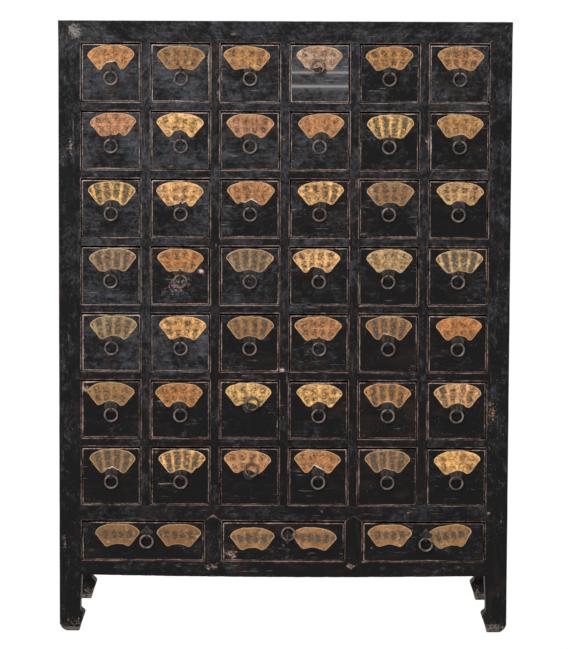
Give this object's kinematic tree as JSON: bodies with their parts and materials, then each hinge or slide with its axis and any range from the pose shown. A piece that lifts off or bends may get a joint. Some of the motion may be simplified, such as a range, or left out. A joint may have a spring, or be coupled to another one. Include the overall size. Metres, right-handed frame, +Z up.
{
  "type": "apothecary cabinet",
  "caption": "Free-standing lacquered wooden apothecary cabinet: a grid of small herb drawers over a row of wide drawers, each with an iron ring pull, on short hoof-footed legs.",
  "frame": {"origin": "on the floor, under the centre of the bounding box; the front-to-back centre counts the staples that stand in front of the drawers", "axes": "+Z up, the drawer fronts face -Y, +X to the right as seen from the front"},
  "size_m": [1.2, 0.5566, 1.633],
  "materials": {
    "black_lacquer": "worn satin black lacquer, rubbed through to red-brown at the edges",
    "drawer_lacquer": "worn satin black lacquer with a fan-shaped ochre paper label",
    "dark_wood": "old dark unlacquered boards",
    "bare_wood": "bare softwood, aged",
    "iron": "dark hand-forged iron, dull brown patina"
  },
  "bodies": {
    "case": {"front_posts": "black_lacquer", "back_posts": "black_lacquer", "front_rails": "black_lacquer", "side_rails": "black_lacquer", "back_frame": "dark_wood", "top_panel": "black_lacquer", "front_stiles": "black_lacquer", "short_rails": "black_lacquer", "side_panels": "black_lacquer", "back_panels": "dark_wood", "drawer_runners": "bare_wood", "bottom_boards": "bare_wood"},
    "drawer_row1_col1": {"drawer_row1_col1": "drawer_lacquer"},
    "drawer_row1_col2": {"drawer_row1_col2": "drawer_lacquer"},
    "drawer_row1_col3": {"drawer_row1_col3": "drawer_lacquer"},
    "drawer_row1_col4": {"drawer_row1_col4": "drawer_lacquer"},
    "drawer_row1_col5": {"drawer_row1_col5": "drawer_lacquer"},
    "drawer_row1_col6": {"drawer_row1_col6": "drawer_lacquer"},
    "drawer_row2_col1": {"drawer_row2_col1": "drawer_lacquer"},
    "drawer_row2_col2": {"drawer_row2_col2": "drawer_lacquer"},
    "drawer_row2_col3": {"drawer_row2_col3": "drawer_lacquer"},
    "drawer_row2_col4": {"drawer_row2_col4": "drawer_lacquer"},
    "drawer_row2_col5": {"drawer_row2_col5": "drawer_lacquer"},
    "drawer_row2_col6": {"drawer_row2_col6": "drawer_lacquer"},
    "drawer_row3_col1": {"drawer_row3_col1": "drawer_lacquer"},
    "drawer_row3_col2": {"drawer_row3_col2": "drawer_lacquer"},
    "drawer_row3_col3": {"drawer_row3_col3": "drawer_lacquer"},
    "drawer_row3_col4": {"drawer_row3_col4": "drawer_lacquer"},
    "drawer_row3_col5": {"drawer_row3_col5": "drawer_lacquer"},
    "drawer_row3_col6": {"drawer_row3_col6": "drawer_lacquer"},
    "drawer_row4_col1": {"drawer_row4_col1": "drawer_lacquer"},
    "drawer_row4_col2": {"drawer_row4_col2": "drawer_lacquer"},
    "drawer_row4_col3": {"drawer_row4_col3": "drawer_lacquer"},
    "drawer_row4_col4": {"drawer_row4_col4": "drawer_lacquer"},
    "drawer_row4_col5": {"drawer_row4_col5": "drawer_lacquer"},
    "drawer_row4_col6": {"drawer_row4_col6": "drawer_lacquer"},
    "drawer_row5_col1": {"drawer_row5_col1": "drawer_lacquer"},
    "drawer_row5_col2": {"drawer_row5_col2": "drawer_lacquer"},
    "drawer_row5_col3": {"drawer_row5_col3": "drawer_lacquer"},
    "drawer_row5_col4": {"drawer_row5_col4": "drawer_lacquer"},
    "drawer_row5_col5": {"drawer_row5_col5": "drawer_lacquer"},
    "drawer_row5_col6": {"drawer_row5_col6": "drawer_lacquer"},
    "drawer_row6_col1": {"drawer_row6_col1": "drawer_lacquer"},
    "drawer_row6_col2": {"drawer_row6_col2": "drawer_lacquer"},
    "drawer_row6_col3": {"drawer_row6_col3": "drawer_lacquer"},
    "drawer_row6_col4": {"drawer_row6_col4": "drawer_lacquer"},
    "drawer_row6_col5": {"drawer_row6_col5": "drawer_lacquer"},
    "drawer_row6_col6": {"drawer_row6_col6": "drawer_lacquer"},
    "drawer_row7_col1": {"drawer_row7_col1": "drawer_lacquer"},
    "drawer_row7_col2": {"drawer_row7_col2": "drawer_lacquer"},
    "drawer_row7_col3": {"drawer_row7_col3": "drawer_lacquer"},
    "drawer_row7_col4": {"drawer_row7_col4": "drawer_lacquer"},
    "drawer_row7_col5": {"drawer_row7_col5": "drawer_lacquer"},
    "drawer_row7_col6": {"drawer_row7_col6": "drawer_lacquer"},
    "wide_drawer_1": {"wide_drawer_1": "drawer_lacquer"},
    "wide_drawer_2": {"wide_drawer_2": "drawer_lacquer"},
    "wide_drawer_3": {"wide_drawer_3": "drawer_lacquer"},
    "wide_ring_1": {"wide_ring_1": "iron"},
    "wide_ring_2": {"wide_ring_2": "iron"},
    "wide_ring_3": {"wide_ring_3": "iron"}
  },
  "joints": [
    {"name": "slide_row1_col1", "type": "slide", "parent": "case", "child": "drawer_row1_col1", "axis": [0, -1, 0], "range_m": [0, 0.36]},
    {"name": "slide_row1_col2", "type": "slide", "parent": "case", "child": "drawer_row1_col2", "axis": [0, -1, 0], "range_m": [0, 0.36]},
    {"name": "slide_row1_col3", "type": "slide", "parent": "case", "child": "drawer_row1_col3", "axis": [0, -1, 0], "range_m": [0, 0.36]},
    {"name": "slide_row1_col4", "type": "slide", "parent": "case", "child": "drawer_row1_col4", "axis": [0, -1, 0], "range_m": [0, 0.36]},
    {"name": "slide_row1_col5", "type": "slide", "parent": "case", "child": "drawer_row1_col5", "axis": [0, -1, 0], "range_m": [0, 0.36]},
    {"name": "slide_row1_col6", "type": "slide", "parent": "case", "child": "drawer_row1_col6", "axis": [0, -1, 0], "range_m": [0, 0.36]},
    {"name": "slide_row2_col1", "type": "slide", "parent": "case", "child": "drawer_row2_col1", "axis": [0, -1, 0], "range_m": [0, 0.36]},
    {"name": "slide_row2_col2", "type": "slide", "parent": "case", "child": "drawer_row2_col2", "axis": [0, -1, 0], "range_m": [0, 0.36]},
    {"name": "slide_row2_col3", "type": "slide", "parent": "case", "child": "drawer_row2_col3", "axis": [0, -1, 0], "range_m": [0, 0.36]},
    {"name": "slide_row2_col4", "type": "slide", "parent": "case", "child": "drawer_row2_col4", "axis": [0, -1, 0], "range_m": [0, 0.36]},
    {"name": "slide_row2_col5", "type": "slide", "parent": "case", "child": "drawer_row2_col5", "axis": [0, -1, 0], "range_m": [0, 0.36]},
    {"name": "slide_row2_col6", "type": "slide", "parent": "case", "child": "drawer_row2_col6", "axis": [0, -1, 0], "range_m": [0, 0.36]},
    {"name": "slide_row3_col1", "type": "slide", "parent": "case", "child": "drawer_row3_col1", "axis": [0, -1, 0], "range_m": [0, 0.36]},
    {"name": "slide_row3_col2", "type": "slide", "parent": "case", "child": "drawer_row3_col2", "axis": [0, -1, 0], "range_m": [0, 0.36]},
    {"name": "slide_row3_col3", "type": "slide", "parent": "case", "child": "drawer_row3_col3", "axis": [0, -1, 0], "range_m": [0, 0.36]},
    {"name": "slide_row3_col4", "type": "slide", "parent": "case", "child": "drawer_row3_col4", "axis": [0, -1, 0], "range_m": [0, 0.36]},
    {"name": "slide_row3_col5", "type": "slide", "parent": "case", "child": "drawer_row3_col5", "axis": [0, -1, 0], "range_m": [0, 0.36]},
    {"name": "slide_row3_col6", "type": "slide", "parent": "case", "child": "drawer_row3_col6", "axis": [0, -1, 0], "range_m": [0, 0.36]},
    {"name": "slide_row4_col1", "type": "slide", "parent": "case", "child": "drawer_row4_col1", "axis": [0, -1, 0], "range_m": [0, 0.36]},
    {"name": "slide_row4_col2", "type": "slide", "parent": "case", "child": "drawer_row4_col2", "axis": [0, -1, 0], "range_m": [0, 0.36]},
    {"name": "slide_row4_col3", "type": "slide", "parent": "case", "child": "drawer_row4_col3", "axis": [0, -1, 0], "range_m": [0, 0.36]},
    {"name": "slide_row4_col4", "type": "slide", "parent": "case", "child": "drawer_row4_col4", "axis": [0, -1, 0], "range_m": [0, 0.36]},
    {"name": "slide_row4_col5", "type": "slide", "parent": "case", "child": "drawer_row4_col5", "axis": [0, -1, 0], "range_m": [0, 0.36]},
    {"name": "slide_row4_col6", "type": "slide", "parent": "case", "child": "drawer_row4_col6", "axis": [0, -1, 0], "range_m": [0, 0.36]},
    {"name": "slide_row5_col1", "type": "slide", "parent": "case", "child": "drawer_row5_col1", "axis": [0, -1, 0], "range_m": [0, 0.36]},
    {"name": "slide_row5_col2", "type": "slide", "parent": "case", "child": "drawer_row5_col2", "axis": [0, -1, 0], "range_m": [0, 0.36]},
    {"name": "slide_row5_col3", "type": "slide", "parent": "case", "child": "drawer_row5_col3", "axis": [0, -1, 0], "range_m": [0, 0.36]},
    {"name": "slide_row5_col4", "type": "slide", "parent": "case", "child": "drawer_row5_col4", "axis": [0, -1, 0], "range_m": [0, 0.36]},
    {"name": "slide_row5_col5", "type": "slide", "parent": "case", "child": "drawer_row5_col5", "axis": [0, -1, 0], "range_m": [0, 0.36]},
    {"name": "slide_row5_col6", "type": "slide", "parent": "case", "child": "drawer_row5_col6", "axis": [0, -1, 0], "range_m": [0, 0.36]},
    {"name": "slide_row6_col1", "type": "slide", "parent": "case", "child": "drawer_row6_col1", "axis": [0, -1, 0], "range_m": [0, 0.36]},
    {"name": "slide_row6_col2", "type": "slide", "parent": "case", "child": "drawer_row6_col2", "axis": [0, -1, 0], "range_m": [0, 0.36]},
    {"name": "slide_row6_col3", "type": "slide", "parent": "case", "child": "drawer_row6_col3", "axis": [0, -1, 0], "range_m": [0, 0.36]},
    {"name": "slide_row6_col4", "type": "slide", "parent": "case", "child": "drawer_row6_col4", "axis": [0, -1, 0], "range_m": [0, 0.36]},
    {"name": "slide_row6_col5", "type": "slide", "parent": "case", "child": "drawer_row6_col5", "axis": [0, -1, 0], "range_m": [0, 0.36]},
    {"name": "slide_row6_col6", "type": "slide", "parent": "case", "child": "drawer_row6_col6", "axis": [0, -1, 0], "range_m": [0, 0.36]},
    {"name": "slide_row7_col1", "type": "slide", "parent": "case", "child": "drawer_row7_col1", "axis": [0, -1, 0], "range_m": [0, 0.36]},
    {"name": "slide_row7_col2", "type": "slide", "parent": "case", "child": "drawer_row7_col2", "axis": [0, -1, 0], "range_m": [0, 0.36]},
    {"name": "slide_row7_col3", "type": "slide", "parent": "case", "child": "drawer_row7_col3", "axis": [0, -1, 0], "range_m": [0, 0.36]},
    {"name": "slide_row7_col4", "type": "slide", "parent": "case", "child": "drawer_row7_col4", "axis": [0, -1, 0], "range_m": [0, 0.36]},
    {"name": "slide_row7_col5", "type": "slide", "parent": "case", "child": "drawer_row7_col5", "axis": [0, -1, 0], "range_m": [0, 0.36]},
    {"name": "slide_row7_col6", "type": "slide", "parent": "case", "child": "drawer_row7_col6", "axis": [0, -1, 0], "range_m": [0, 0.36]},
    {"name": "slide_wide_1", "type": "slide", "parent": "case", "child": "wide_drawer_1", "axis": [0, -1, 0], "range_m": [0, 0.36]},
    {"name": "slide_wide_2", "type": "slide", "parent": "case", "child": "wide_drawer_2", "axis": [0, -1, 0], "range_m": [0, 0.36]},
    {"name": "slide_wide_3", "type": "slide", "parent": "case", "child": "wide_drawer_3", "axis": [0, -1, 0], "range_m": [0, 0.36]},
    {"name": "swing_ring_1", "type": "hinge", "parent": "wide_drawer_1", "child": "wide_ring_1", "pos_m": [-0.366, -0.27285, 0.263], "axis": [-1, 0, 0], "range_deg": [-5, 186]},
    {"name": "swing_ring_2", "type": "hinge", "parent": "wide_drawer_2", "child": "wide_ring_2", "pos_m": [0.011, -0.27285, 0.252], "axis": [-1, 0, 0], "range_deg": [-191, 0]},
    {"name": "swing_ring_3", "type": "hinge", "parent": "wide_drawer_3", "child": "wide_ring_3", "pos_m": [0.382, -0.27285, 0.258], "axis": [-1, 0, 0], "range_deg": [-5, 186]}
  ]
}
